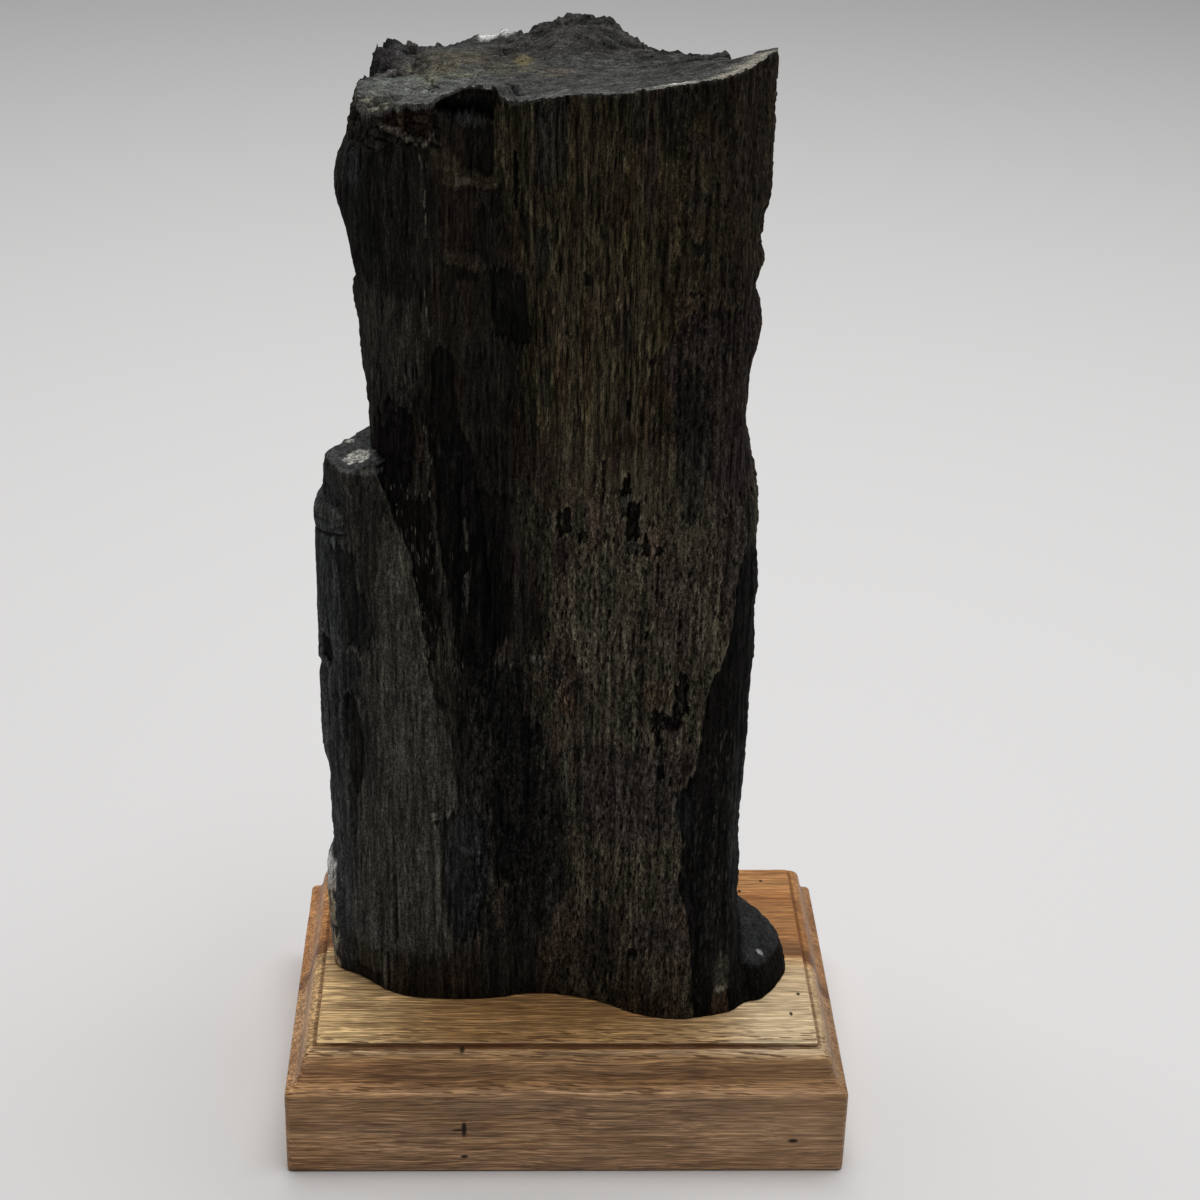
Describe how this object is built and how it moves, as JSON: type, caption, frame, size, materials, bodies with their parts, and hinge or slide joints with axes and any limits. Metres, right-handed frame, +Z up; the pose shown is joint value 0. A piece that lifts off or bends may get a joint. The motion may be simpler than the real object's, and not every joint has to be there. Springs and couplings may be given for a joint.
{
  "type": "petrified wood on a wooden base",
  "caption": "Upright slab of dark petrified wood with ribbed grain and a broken top, standing on a rectangular hardwood base with an ogee moulding.",
  "frame": {"origin": "centre of the wooden base's underside, on the surface it stands on", "axes": "+X along the base's long side, to the viewer's right; -Y towards the viewer, the front; +Z up, along the petrified wood's grain"},
  "size_m": [0.1524, 0.1016, 0.2992],
  "materials": {
    "petrified_wood": "satin",
    "wooden_base": "oiled"
  },
  "bodies": {
    "root": {"petrified_wood": "petrified_wood", "wooden_base": "wooden_base"}
  },
  "joints": []
}
